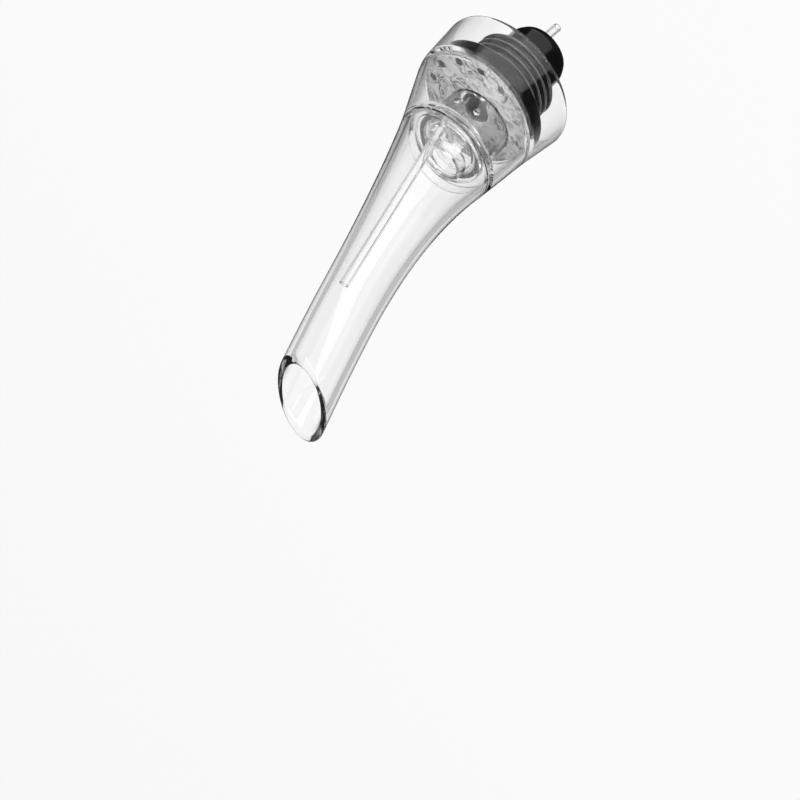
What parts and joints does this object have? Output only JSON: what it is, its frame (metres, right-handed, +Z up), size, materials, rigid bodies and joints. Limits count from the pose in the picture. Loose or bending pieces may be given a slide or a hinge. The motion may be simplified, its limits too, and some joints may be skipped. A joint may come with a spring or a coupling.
{
  "type": "wine aerator pourer",
  "caption": "Clear bell-shaped wine pourer with a bent, slant-cut spout, an inner aerating core with air tubes, a black gasket and a ribbed rubber bottle stopper.",
  "frame": {"origin": "on the bell's axis, at the plane where the bottle's lip meets the underside of the stopper's collar, at the upper end of the plug", "axes": "+Z up along the bell's axis towards the spout, +X the way the spout bends, and the XZ plane halves the part"},
  "size_m": [0.0681, 0.043, 0.1316],
  "materials": {
    "clear_acrylic": "clear, polished",
    "black_rubber": "satin"
  },
  "bodies": {
    "stopper_body": {"stopper": "black_rubber", "gasket": "black_rubber"},
    "core_body": {"venturi_core": "clear_acrylic", "flow_plate": "clear_acrylic", "front_air_tube": "clear_acrylic", "rear_air_tube": "clear_acrylic"},
    "housing_body": {"bell_housing": "clear_acrylic", "spout": "clear_acrylic"}
  },
  "joints": [
    {"name": "core_pull", "type": "slide", "parent": "stopper_body", "child": "core_body", "axis": [0, 0, 1], "range_m": [0, 0.04]},
    {"name": "housing_pull", "type": "slide", "parent": "core_body", "child": "housing_body", "axis": [0, 0, 1], "range_m": [0, 0.08]}
  ]
}
